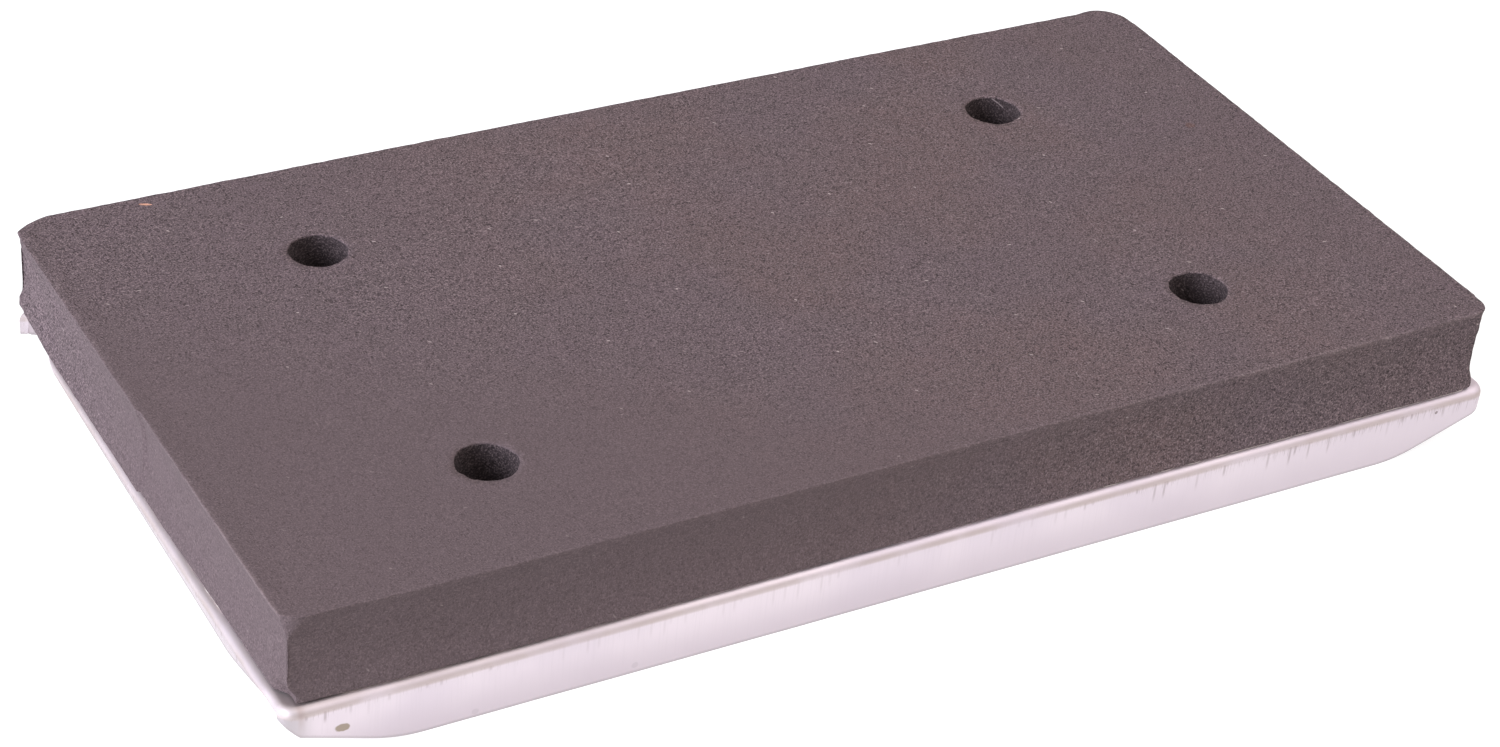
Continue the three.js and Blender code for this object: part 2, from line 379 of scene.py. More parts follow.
def make_hole_wall(shell, number, rows, height):
    """One punched hole, with a torn rim and a wall of cut cells."""
    centre = HOLE_CENTRES[number]
    ring_plan = circle(centre, HOLE_RADIUS, 84)
    outward = (ring_plan - centre) / HOLE_RADIUS
    rings, plans = [], []
    for depth, edge in rows:
        share = depth / height
        points = flat(ring_plan, PAD_HIGH[2] - depth)
        tears = 0.12 * lumps(points, 1.5 * MM, 21 + number) + 0.10 * lumps(points, 0.6 * MM, 25 + number)
        tears = tears * (1 - 0.7 * smooth_step(share, 0, 0.12))
        cells = 0.09 * lumps(points, 0.75 * MM, 31 + number)
        pull = 0.12 * math.sin(math.pi * share)
        shift = (tears + cells - pull) * MM + 0.2 * edge
        plan = ring_plan + outward * shift[:, None]
        rings.append(shell.add_points(flat(plan, PAD_HIGH[2] - depth)))
        plans.append(plan)
    shell.skin(rings)
    return rings, plans


# ---- Pressed tray ----
TRAY_CORNER = 2.5 * MM
TRAY_CORNERS = [2.5, 2.5, 1.7, 2.5]    # corner radii of the sheet in plan, in mm
# How far the lower edge climbs round a corner. Near left: the whole climb, spread evenly over the
# quarter turn. Right-hand corners: the climb at a turn of one radian, growing as its cube.
LEFT_RISE, RIGHT_RISE = 2.2 * MM, 0.125 * MM
BEND = 1.3 * MM                    # outside radius of the bend
SHEET = 1.0 * MM
TRAY_HOLE = 2.25 * MM
FLAT_HALF, TAPER_END, TAPER_RISE, EDGE_BLEND = 75 * MM, 87.2 * MM, 4.1 * MM, 3.5 * MM
RIM_DEPTH = 1.9 * MM
RIM_SKEW = 0.028                   # how far out of square the left-hand rim was trimmed, mm per mm
# The relief in the end rim beside each corner: depth of rim left in it, and where it starts and
# ends, in mm from the corner. Near right, far right, far left, near left.
RELIEFS = [(0.45, 1.0, 8.5), (0.45, 1.0, 8.5), (0.09, 7.2, 13.2), (0.9, 1.8, 15.5)]
CUT_EDGE = 0.07 * MM               # bevel of the sheet's cut edge


def lower_edge(points):
    """Height of the tray's lower edge at plan points of its outline."""
    x = np.abs(points[:, 0])
    slope = TAPER_RISE / (TAPER_END - FLAT_HALF)
    start = FLAT_HALF - EDGE_BLEND
    curve = slope * np.clip(x - start, 0, 2 * EDGE_BLEND) ** 2 / (4 * EDGE_BLEND)
    taper = curve + slope * np.clip(x - FLAT_HALF - EDGE_BLEND, 0, None)
    left, far = points[:, 0] < 0, points[:, 1] > 0
    round_corner = np.arcsin(np.clip((x - TRAY_HIGH[0] + TRAY_CORNER) / TRAY_CORNER, 0, 1))
    left_rise = np.where(far, 0, LEFT_RISE * round_corner / (math.pi / 2))
    taper = taper + np.where(left, left_rise, RIGHT_RISE * round_corner ** 3)
    skew = np.where(left, RIM_SKEW * (points[:, 1] - 2 * MM), 0)
    rim = TRAY_HIGH[2] - RIM_DEPTH + skew
    middle = (TRAY_LOW[1] + TRAY_HIGH[1]) / 2
    from_corner = TRAY_HIGH[1] - middle - TRAY_CORNER - np.abs(points[:, 1] - middle)
    for at, (depth, start, end) in zip((~left & ~far, ~left & far, left & far, left & ~far), RELIEFS):
        relief = at * (1 - smooth_step(from_corner, start * MM, end * MM))
        rim = rim + (TRAY_HIGH[2] - depth * MM - rim) * relief
    return np.where(x > TRAY_HIGH[0] - 0.1 * MM, rim, taper)


def make_tray():
    shell = Shell()
    outline, normals = rounded_outline(TRAY_LOW[:2], TRAY_HIGH[:2], TRAY_CORNERS, 0.7 * MM)
    top = TRAY_HIGH[2]
    cut = lower_edge(outline) + CUT_EDGE
    waves = 0.03 * lumps(flat(outline), 22 * MM, 41) + 0.015 * lumps(flat(outline), 7 * MM, 42)
    straight = np.clip(top - BEND - cut, 0.02 * MM, None)
    waves = np.clip(waves + 0.03, 0, None) * smooth_step(straight, 0, 1 * MM) * MM
    bent = np.arccos(np.clip(1 - (top - cut - 0.02 * MM) / BEND, 0, 1))
    rings, plans = [], []

    def ring(inset, z, wave_share=0.0):
        plan = outline - normals * (inset + wave_share * waves)[:, None]
        rings.append(shell.add_points(np.column_stack([plan, z])))
        plans.append(plan)

    for share in np.linspace(0, 1, 9):
        ring(BEND * (1 - np.sin(share * bent)), top - BEND * (1 - np.cos(share * bent)))
    outer_inset, outer_end = BEND * (1 - np.sin(bent)), top - BEND * (1 - np.cos(bent))
    for share in (0.14, 0.28, 0.42, 0.56, 0.7, 0.84, 0.94, 1.0):
        ring(outer_inset, outer_end + (cut - outer_end) * share, share)
    inner_bend = BEND - SHEET
    inner_inset = SHEET + inner_bend * (1 - np.sin(bent))
    inner_end = top - SHEET - inner_bend * (1 - np.cos(bent))
    inner_cut = np.where(bent < math.pi / 2, inner_end - 0.02 * MM, cut)
    for share in (CUT_EDGE / SHEET, 1 - CUT_EDGE / SHEET):
        inset = outer_inset + (inner_inset - outer_inset) * share - CUT_EDGE * np.cos(bent)
        ring(inset, cut + (inner_cut - cut) * share - CUT_EDGE * np.sin(bent), 1)
    for share in np.linspace(1, 0, 6):
        ring(inner_inset, inner_end + (inner_cut - inner_end) * share, share)
    for share in np.linspace(1, 0, 5)[1:]:
        inset = SHEET + inner_bend * (1 - np.sin(share * bent))
        ring(inset, top - SHEET - inner_bend * (1 - np.cos(share * bent)))
    shell.skin([indices[::-1] for indices in rings])
    holes = [drilled_hole(shell, centre, top) for centre in HOLE_CENTRES]
    cap_both_ends(shell, (rings, plans), holes, (6 * MM, level(top)), (6 * MM, level(top - SHEET)))
    tray = shell.build("pressed_tray", 50)
    store_height_above_edge(tray.data)
    tray.data.materials.append(sheet_material())
    return tray


def store_height_above_edge(mesh):
    """Saves, at every corner point of the tray, how far it stands above the lower edge."""
    points = np.array([vertex.co for vertex in mesh.vertices])
    above = points[:, 2] - lower_edge(points)
    mesh.attributes.new("above_edge", "FLOAT", "POINT").data.foreach_set("value", above)


def drilled_hole(shell, centre, top):
    """A hole through the sheet with both edges broken."""
    burr = 0.15 * MM
    rings, plans = [], []
    for radius, z in ((TRAY_HOLE + burr, top), (TRAY_HOLE, top - burr),
                      (TRAY_HOLE, top - SHEET + burr), (TRAY_HOLE + burr, top - SHEET)):
        plan = circle(centre, radius, 40)
        rings.append(shell.add_points(flat(plan, z)))
        plans.append(plan)
    shell.skin(rings)
    return rings, plans


# ---- Glue line ----

def make_glue():
    """The film between foam and tray: a thin slab whose edge wanders in and out under the foam."""
    shell = Shell()
    low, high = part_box("adhesive_film")
    outline, normals = rounded_outline(PAD_LOW[:2], PAD_HIGH[:2], [3.6] * 4, 0.6 * MM)
    points = flat(outline)
    wander = 0.75 + 0.35 * lumps(points, 5 * MM, 51) + 0.2 * lumps(points, 1.3 * MM, 52)
    near_right = smooth_step(outline[:, 0], 20 * MM, 60 * MM) * (outline[:, 1] < 0)
    squeezed = near_right * (0.55 + 0.5 * lumps(points, 2.2 * MM, 53))
    from_corner = np.linalg.norm(outline - PAD_LOW[:2], axis=1)
    clear_of_nick = 1.5 * (1 - smooth_step(from_corner, 4 * MM, 10 * MM))
    inset = foot_inset(outline) + (wander - squeezed + clear_of_nick) * MM
    on_tray = TRAY_HIGH[1] - BEND * 0.6
    rings, plans = [], []
    for share, z in ((0.25, high.z), (0.0, (low.z + high.z) / 2), (0.2, low.z)):
        plan = outline - normals * (inset + share * MM)[:, None]
        plan[:, 1] = np.clip(plan[:, 1], TRAY_LOW[1] + BEND * 0.6, on_tray)
        rings.append(shell.add_points(flat(plan, z)))
        plans.append(plan)
    shell.skin([ring[::-1] for ring in rings])
    holes = []
    for centre in HOLE_CENTRES:
        hole = circle(centre, HOLE_RADIUS + 0.25 * MM, 48)
        hole_rings = [shell.add_points(flat(hole, z)) for z in (high.z, low.z)]
        shell.skin(hole_rings)
        holes.append((hole_rings, [hole, hole]))
    cap_both_ends(shell, (rings, plans), holes, (8 * MM, level(high.z)), (8 * MM, level(low.z)))
    glue = shell.build("glue_line", 30)
    glue.data.materials.append(glue_material())
    return glue


# ---- Screws and washers ----
HEAD_RADIUS, HEAD_EDGE, KNURL_DEPTH, KNURLS = 3.5 * MM, 0.35 * MM, 0.1 * MM, 48
THREAD_PITCH, THREAD_DEPTH, SHANK_RADIUS = 0.7 * MM, 0.38 * MM, 1.98 * MM
HEX_FLATS, SOCKET_DEPTH = 3.0 * MM, 2.0 * MM
HEAD_HEIGHT = 4.0 * MM
SCREW_COLUMNS = 144
WASHER_OUTER, WASHER_INNER, WASHER_CHAMFER = 3.8 * MM, 2.1 * MM, 0.12 * MM
WASHER_SET = 0.04 * MM             # how far each end of the split ring stands out of line
WASHER_GAP = 0.35 * MM             # half the width of its split
WASHER_ASIDE = 0.004 * MM          # its middle, away from the split, from the middle of its box


def thread_radius(angles, z, tip):
    """Radius of the threaded shank: a trapezoid ridge that climbs one pitch a turn."""
    phase = (z / THREAD_PITCH - angles / (2 * np.pi)) % 1
    ridge = np.clip(2.6 * (1 - np.abs(2 * phase - 1)) - 0.6, 0, 1)
    taper = np.clip((z - tip) / (0.6 * MM), 0, 1)
    return SHANK_RADIUS - THREAD_DEPTH * (1 - ridge * taper) - 0.25 * MM * (1 - taper)


def make_screw(name):
    low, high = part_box(name)
    centre = box_middle(name)
    angles = 2 * np.pi * np.arange(SCREW_COLUMNS) / SCREW_COLUMNS
    around = np.column_stack([np.cos(angles), np.sin(angles)])
    shell = Shell()
    rings = []

    def ring(radius, z):
        plan = centre + around * np.reshape(radius * np.ones(SCREW_COLUMNS), (-1, 1))
        rings.append(shell.add_points(flat(plan, z)))

    head_low = high.z - HEAD_HEIGHT
    for z in np.arange(low.z, head_low - 0.3 * MM, THREAD_PITCH / 9):
        ring(thread_radius(angles, z, low.z), z)
    ring(SHANK_RADIUS - THREAD_DEPTH * 0.5, head_low - 0.15 * MM)
    ring(SHANK_RADIUS, head_low)
    ring(HEAD_RADIUS - 0.25 * MM, head_low)
    knurl = KNURL_DEPTH * (0.5 + 0.5 * np.cos(angles * KNURLS))
    ring(HEAD_RADIUS - knurl, head_low + 0.25 * MM)
    ring(HEAD_RADIUS - knurl, high.z - HEAD_EDGE - 0.35 * MM)
    ring(HEAD_RADIUS, high.z - HEAD_EDGE - 0.15 * MM)
    ring(HEAD_RADIUS, high.z - HEAD_EDGE)
    ring(HEAD_RADIUS - HEAD_EDGE, high.z)
    side = np.pi / 3
    hexagon = HEX_FLATS / 2 / np.cos((angles + side / 2) % side - side / 2)
    ring(hexagon + 0.2 * MM, high.z)
    ring(hexagon, high.z - 0.2 * MM)
    ring(hexagon, high.z - SOCKET_DEPTH)
    ring(0.45 * hexagon, high.z - SOCKET_DEPTH - 0.35 * MM)
    shell.skin(rings)
    tip, pit = shell.add_points([[*centre, low.z], [*centre, high.z - SOCKET_DEPTH - 0.5 * MM]])
    shell.fan(rings[0], tip, flip=True)
    shell.fan(rings[-1], pit)
    screw = shell.build(name.replace("mounting_screw", "socket_screw"), 35)
    screw.data.materials.append(screw_material())
    return screw


def make_washer(name):
    """A split ring of square section, its two ends a little out of line."""
    low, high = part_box(name)
    centre = box_middle(name) - np.array([WASHER_ASIDE, 0])
    section = []
    for outside, above in ((False, False), (True, False), (True, True), (False, True)):
        radius, z = (WASHER_OUTER if outside else WASHER_INNER), (high.z if above else low.z)
        into = -WASHER_CHAMFER if outside else WASHER_CHAMFER
        lift = -WASHER_CHAMFER if above else WASHER_CHAMFER
        pair = [(radius + into, z), (radius, z + lift)]
        section += pair[::-1] if outside == above else pair
    gap = WASHER_GAP / WASHER_INNER
    shell = Shell()
    sections = []
    for angle in np.linspace(gap, 2 * np.pi - gap, 61):
        climb = WASHER_SET * (angle / np.pi - 1)
        points = [[centre[0] + r * math.cos(angle), centre[1] + r * math.sin(angle), z + climb]
                  for r, z in section]
        sections.append(shell.add_points(points))
    shell.skin(sections)
    for end, flip in ((sections[0], True), (sections[-1], False)):
        middle = np.mean(np.concatenate(shell.points)[end], axis=0)
        shell.fan(end, shell.add_points([middle])[0], flip)
    washer = shell.build(name.replace("lock_washer", "spring_washer"), 25)
    washer.data.materials.append(washer_material())
    return washer


# ---- Materials ----

class Nodes:
    """Short names for building one material's node tree."""

    def __init__(self, name):
        self.material = bpy.data.materials.new(name)
        self.material.use_nodes = True
        self.tree = self.material.node_tree
        self.shader = self.tree.nodes["Principled BSDF"]
        self.coordinates = self.tree.nodes.new("ShaderNodeTexCoord").outputs["Object"]

    def node(self, kind, inputs=None, **settings):
        made = self.tree.nodes.new("ShaderNode" + kind)
        for key, value in settings.items():
            setattr(made, key, value)
        for key, value in (inputs or {}).items():
            self.put(value, made.inputs[key])
        return made

    def put(self, value, socket):
        if isinstance(value, bpy.types.NodeSocket):
            self.tree.links.new(value, socket)
        else:
            socket.default_value = value

    def place(self, scale):
        return self.node("Mapping", {"Vector": self.coordinates, "Scale": scale}).outputs["Vector"]

    def noise(self, size, detail=2.0, stretch=(1, 1, 1), seed=0.0):
        """Noise with features about `size` metres across."""
        vector = self.place([s / size for s in stretch])
        moved = self.vector("ADD", vector, (seed, seed, seed))
        made = self.node("TexNoise", {"Vector": moved, "Scale": 1.0, "Detail": detail})
        return made.outputs["Fac"]

    def cells(self, size, seed=0.0, warp=0.0):
        """Round cells about `size` apart, their outlines bent by `warp` of a cell."""
        place = self.vector("MULTIPLY_ADD", self.coordinates, (1 / size,) * 3, (seed,) * 3)
        bent = self.node("TexNoise", {"Vector": place, "Scale": 1.6, "Detail": 1.0}).outputs["Color"]
        moved = self.vector("MULTIPLY_ADD", bent, (warp * 3,) * 3, place)
        return self.node("TexVoronoi", {"Vector": moved, "Scale": 1.0})

    def math(self, operation, a, b=0.0, c=0.0):
        return self.node("Math", {0: a, 1: b, 2: c}, operation=operation).outputs[0]

    def ramp(self, value, low, high, to_low=0.0, to_high=1.0):
        inputs = {"Value": value, "From Min": low, "From Max": high, "To Min": to_low, "To Max": to_high}
        return self.node("MapRange", inputs, interpolation_type="SMOOTHSTEP").outputs["Result"]

    def mix(self, factor, a, b):
        return self.node("Mix", {"Factor": factor, 6: a, 7: b}, data_type="RGBA").outputs[2]

    def bump(self, height, distance, strength=1.0, normal=None):
        inputs = {"Height": height, "Distance": distance, "Strength": strength}
        if normal is not None:
            inputs["Normal"] = normal
        return self.node("Bump", inputs).outputs["Normal"]

    def axis(self, name):
        return self.node("SeparateXYZ", {0: self.coordinates}).outputs[name]

    def both(self, first, *others):
        """Product of masks."""
        for other in others:
            first = self.math("MULTIPLY", first, other)
        return first

    def vector(self, operation, a, b=None, c=None):
        inputs = {0: a, 1: b, 2: c}
        inputs = {key: value for key, value in inputs.items() if value is not None}
        return self.node("VectorMath", inputs, operation=operation).outputs[0]

    def blob(self, centre, half_sizes, turn=0.0):
        """Mask of one ragged spot about `centre`."""
        offset = self.vector("SUBTRACT", self.coordinates, tuple(centre))
        turned = self.node("VectorRotate", {"Vector": offset, "Angle": turn}).outputs[0]
        sized = self.vector("MULTIPLY", turned, tuple(1 / size for size in half_sizes))
        reach = self.node("VectorMath", {0: sized}, operation="LENGTH").outputs["Value"]
        ragged = self.math("ADD", reach, self.math("MULTIPLY", self.noise(max(half_sizes) * 0.5, 2.0), 0.8))
        return self.ramp(ragged, 1.15, 1.45, 1.0, 0.0)

    def dashes(self, cell, half_length, half_width, share, seed, bend=0.0):
        """Mask of short scattered strokes: one to a cell, in the given share of the cells."""
        skew = self.node("Mapping", {"Vector": self.coordinates, "Rotation": (0.8, 0.7, 0.0)}).outputs[0]
        place = self.vector("MULTIPLY_ADD", skew, (1 / cell,) * 3, (seed,) * 3)
        cells = self.node("TexVoronoi", {"Vector": place, "Scale": 1.0}, voronoi_dimensions="2D")
        offset = self.vector("SUBTRACT", place, cells.outputs["Position"])
        chance = self.node("SeparateColor", {0: cells.outputs["Color"]}).outputs
        angle = self.math("MULTIPLY", chance[0], math.pi)
        turned = self.node("VectorRotate", {"Vector": offset, "Angle": angle}).outputs[0]
        part = self.node("SeparateXYZ", {0: turned}).outputs
        along = self.math("MULTIPLY", part[0], cell / half_length)
        curl = self.both(along, along, self.math("SUBTRACT", chance[2], 0.5), bend)
        across = self.math("ADD", self.math("MULTIPLY", part[1], cell / half_width), curl)
        reach = self.math("SQRT", self.math("ADD", self.both(along, along), self.both(across, across)))
        return self.both(self.ramp(reach, 0.6, 1.0, 1.0, 0.0), self.math("LESS_THAN", chance[1], share))


def colour(red, green, blue):
    return (red, green, blue, 1.0)


def foam_material():
    n = Nodes("foam_cells")
    pores = n.cells(0.29 * MM, warp=0.35)
    large = n.cells(0.60 * MM, seed=40.0, warp=0.25)
    webs = n.noise(0.23 * MM, 2.0)
    grain = n.noise(0.42 * MM, 1.0, seed=70.0)
    mottle = n.noise(1.3 * MM, 3.0, seed=5.0)
    patches = n.noise(26 * MM, 2.0, seed=9.0)
    clouds = n.noise(5 * MM, 3.0, seed=3.0)

    warm, cool = colour(0.108, 0.0725, 0.0725), colour(0.097, 0.0715, 0.082)
    ends = n.ramp(n.math("ABSOLUTE", n.math("SUBTRACT", n.axis("X"), 0.02)), 25 * MM, 80 * MM, 0.0, 0.75)
    tone = n.mix(n.math("MAXIMUM", n.ramp(patches, 0.36, 0.64, 0.0, 0.7), ends), warm, cool)
    tone = n.mix(n.ramp(clouds, 0.35, 0.7, 0.0, 0.3), tone, colour(0.088, 0.070, 0.069))
    tone = n.mix(n.ramp(mottle, 0.35, 0.7, 0.0, 0.3), tone, colour(0.060, 0.044, 0.046))
    tone = n.mix(n.ramp(grain, 0.40, 0.62, 0.45, 0.0), tone, colour(0.036, 0.026, 0.028))
    # The hole walls: darker cut cells, and painted shade inside the holes.
    wall = cut_cells_and_hole_shade(n)
    tone = n.mix(n.math("MULTIPLY", wall, 0.75), tone, colour(0.016, 0.011, 0.012))
    thread = n.mix(wall, colour(0.198, 0.146, 0.151), colour(0.105, 0.078, 0.080))
    tone = n.mix(n.ramp(webs, 0.47, 0.66, 0.0, 0.8), tone, thread)
    depth = n.node("SeparateColor", {0: pores.outputs["Color"]}).outputs
    reach = n.math("SUBTRACT", pores.outputs["Distance"], n.math("MULTIPLY", depth[1], 0.22))
    pits = n.both(n.ramp(reach, 0.05, 0.42, 1.0, 0.0), n.ramp(depth[0], 0.1, 0.9))
    tone = n.mix(n.math("MULTIPLY", pits, 0.8), tone, colour(0.018, 0.012, 0.013))
    rare = n.node("SeparateColor", {0: large.outputs["Color"]}).outputs[1]
    holes = n.both(n.ramp(large.outputs["Distance"], 0.10, 0.40, 1.0, 0.0), n.ramp(rare, 0.55, 0.85))
    tone = n.mix(n.math("MULTIPLY", holes, 0.6), tone, colour(0.019, 0.013, 0.014))
    closed = n.both(closed_skin(n), n.math("SUBTRACT", 1.0, wall))
    tone = n.mix(closed, tone, colour(0.085, 0.0615, 0.0645))
    tone = add_wear(n, tone)
    dust_share = n.math("MULTIPLY_ADD", closed, -1.2, 1.0)
    tone = add_dust(n, tone, dust_share)
    n.put(tone, n.shader.inputs["Base Color"])
    n.put(0.95, n.shader.inputs["Roughness"])
    n.put(0.2, n.shader.inputs["Specular IOR Level"])
    height = n.math("SUBTRACT", n.math("MULTIPLY", webs, 0.9), n.math("ADD", pits, holes))
    height = n.math("MULTIPLY", height, n.math("SUBTRACT", 1.0, closed))
    normal = n.bump(height, 0.09 * MM, 0.9)
    n.put(n.bump(mottle, 0.10 * MM, 0.5, normal), n.shader.inputs["Normal"])
    return n.material


def closed_skin(n):
    """How far the cells are closed over: the slab's skin is smoother toward its near left corner."""
    across = n.math("ADD", n.math("MULTIPLY", n.axis("X"), 0.53), n.math("MULTIPLY", n.axis("Y"), 0.85))
    return n.ramp(across, -50 * MM, -14 * MM, 0.62, 0.0)


def cut_cells_and_hole_shade(n):
    """Mask of the walls of the four holes, whose cut cells are darker than the skin; the mask also paints
    the shade inside the holes.
    """
    middle = (HOLE_CENTRES[0] + HOLE_CENTRES[3]) / 2
    half = (HOLE_CENTRES[3] - HOLE_CENTRES[0]) / 2
    from_hole = []
    for axis, name in enumerate("XY"):
        aside = n.math("ABSOLUTE", n.math("SUBTRACT", n.axis(name), middle[axis]))
        from_hole.append(n.math("SUBTRACT", aside, half[axis]))
    across, along = from_hole
    reach = n.math("SQRT", n.math("ADD", n.both(across, across), n.both(along, along)))
    around = n.ramp(reach, HOLE_RADIUS + 0.12 * MM, HOLE_RADIUS + 0.42 * MM, 1.0, 0.0)
    return n.both(around, n.ramp(n.axis("Z"), PAD_HIGH[2] - 0.28 * MM, PAD_HIGH[2] - 0.12 * MM, 1.0, 0.0))


def add_wear(n, tone):
    """Rubbed, paler foam along the top edges: the left one near the front, the front one to the right."""
    near_top = n.ramp(n.axis("Z"), PAD_HIGH[2] - 0.9 * MM, PAD_HIGH[2] - 0.25 * MM)
    from_left = n.math("SUBTRACT", n.axis("X"), PAD_LOW[0])
    from_front = n.math("SUBTRACT", n.axis("Y"), PAD_LOW[1])
    patchy = n.ramp(n.noise(2.4 * MM, 2.0, seed=61.0), 0.3, 0.7, 0.3, 1.0)
    left_end = n.ramp(from_front, 12 * MM, 45 * MM, 0.8, 0.15)
    left = n.both(n.ramp(from_left, 0.35 * MM, 1.0 * MM, 1.0, 0.0), left_end)
    right_end = n.ramp(from_left, 70 * MM, 150 * MM, 0.1, 0.5)
    front = n.both(n.ramp(from_front, 0.3 * MM, 0.8 * MM, 1.0, 0.0), right_end)
    worn = n.both(n.math("MAXIMUM", left, front), patchy, near_top)
    return n.mix(n.math("MULTIPLY", worn, 0.6), tone, colour(0.185, 0.140, 0.140))


def add_dust(n, tone, share):
    """Pale specks and a few short hairs, as strong as `share`, one splinter of orange grit and one stain."""
    specks = n.dashes(2.3 * MM, 0.17 * MM, 0.10 * MM, 0.30, 17.0)
    tone = n.mix(n.both(specks, share, 0.65), tone, colour(0.24, 0.19, 0.19))
    bright = n.dashes(8 * MM, 0.20 * MM, 0.12 * MM, 0.45, 5.0)
    tone = n.mix(n.both(bright, share, 0.85), tone, colour(0.33, 0.27, 0.26))
    hairs = n.dashes(15 * MM, 0.75 * MM, 0.06 * MM, 0.6, 29.0, bend=6.0)
    tone = n.mix(n.both(hairs, share, 0.6), tone, colour(0.24, 0.19, 0.19))
    far_left = Vector((PAD_LOW[0], PAD_HIGH[1], PAD_HIGH[2]))
    splinter = n.blob(far_left + Vector((18.38, -2.09, 0)) * MM, (0.85 * MM, 0.24 * MM, 1 * MM), 0.39)
    tone = n.mix(splinter, tone, colour(0.46, 0.24, 0.17))
    stain = n.blob(far_left + Vector((167.8, -36.0, 0)) * MM, (0.8 * MM, 0.8 * MM, 1 * MM))
    return n.mix(n.math("MULTIPLY", stain, 0.35), tone, colour(0.12, 0.055, 0.04))


# Marks on the front flange, measured along and up from its left-hand foot.
GLUE_SMEAR, PIN_SPOT = Vector((7.8, 0, 4.1)) * MM, Vector((171.0, 0, 6.4)) * MM
FAINT_MARKS = [Vector((25.0, 0, 0.9)) * MM, Vector((46.6, 0, 1.2)) * MM]


